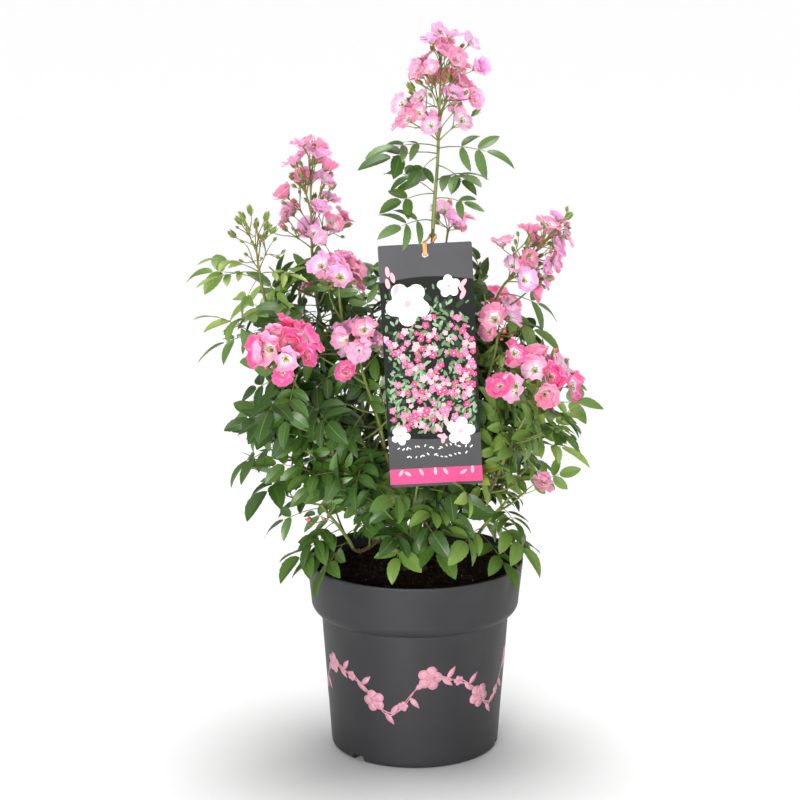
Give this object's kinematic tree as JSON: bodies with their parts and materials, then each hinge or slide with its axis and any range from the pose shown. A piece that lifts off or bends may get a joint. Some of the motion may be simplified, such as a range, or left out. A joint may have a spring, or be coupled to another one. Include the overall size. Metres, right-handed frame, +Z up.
{
  "type": "potted rose bush",
  "caption": "Rose bush in full bloom in a round plastic nursery pot, with leafy canes, dense spires and clusters of small open flowers, and a plain card label tied to the tallest cane.",
  "frame": {"origin": "the centre of the pot's flat underside", "axes": "+Z is up along the pot's axis, -Y is the front, where the label hangs, and +X is to the right seen from the front"},
  "size_m": [0.4465, 0.3647, 0.7725],
  "materials": {
    "pot": "satin charcoal polypropylene",
    "soil": "crumbly potting mix, stood in for by wood",
    "bark": "smooth green to reddish-brown rose bark",
    "leaf": "living leaf with a slight sheen",
    "blossom": "soft petals",
    "label": "coated card",
    "strap": "dull tan strap"
  },
  "bodies": {
    "root": {"pot": "pot", "soil": "soil", "label": "label", "strap": "strap", "crown": "bark", "leader_cane": "bark", "left_cane": "bark", "left_bud_cane": "bark", "mid_left_cane": "bark", "left_front_cane": "bark", "mid_front_cane": "bark", "mid_low_cane": "bark", "right_cane": "bark", "right_front_cane": "bark", "right_low_cane": "bark", "right_side_cane": "bark", "left_side_cane": "bark", "left_low_cane": "bark", "right_foot_cane": "bark", "front_low_cane": "bark", "centre_cane": "bark", "back_left_cane": "bark", "back_right_cane": "bark", "back_cane": "bark", "back_left_low_cane": "bark", "back_right_low_cane": "bark", "leader_foliage": "leaf", "left_foliage": "leaf", "left_bud_foliage": "leaf", "mid_left_foliage": "leaf", "left_front_foliage": "leaf", "mid_front_foliage": "leaf", "mid_low_foliage": "leaf", "right_foliage": "leaf", "right_front_foliage": "leaf", "right_low_foliage": "leaf", "right_side_foliage": "leaf", "left_side_foliage": "leaf", "left_low_foliage": "leaf", "right_foot_foliage": "leaf", "front_low_foliage": "leaf", "centre_foliage": "leaf", "back_left_foliage": "leaf", "back_right_foliage": "leaf", "back_foliage": "leaf", "back_left_low_foliage": "leaf", "back_right_low_foliage": "leaf", "leader_blossom": "blossom", "left_blossom": "blossom", "left_bud_blossom": "blossom", "mid_left_blossom": "blossom", "left_front_blossom": "blossom", "mid_front_blossom": "blossom", "right_blossom": "blossom", "right_front_blossom": "blossom", "right_low_blossom": "blossom", "centre_blossom": "blossom", "back_left_blossom": "blossom", "back_right_blossom": "blossom", "back_blossom": "blossom"}
  },
  "joints": []
}
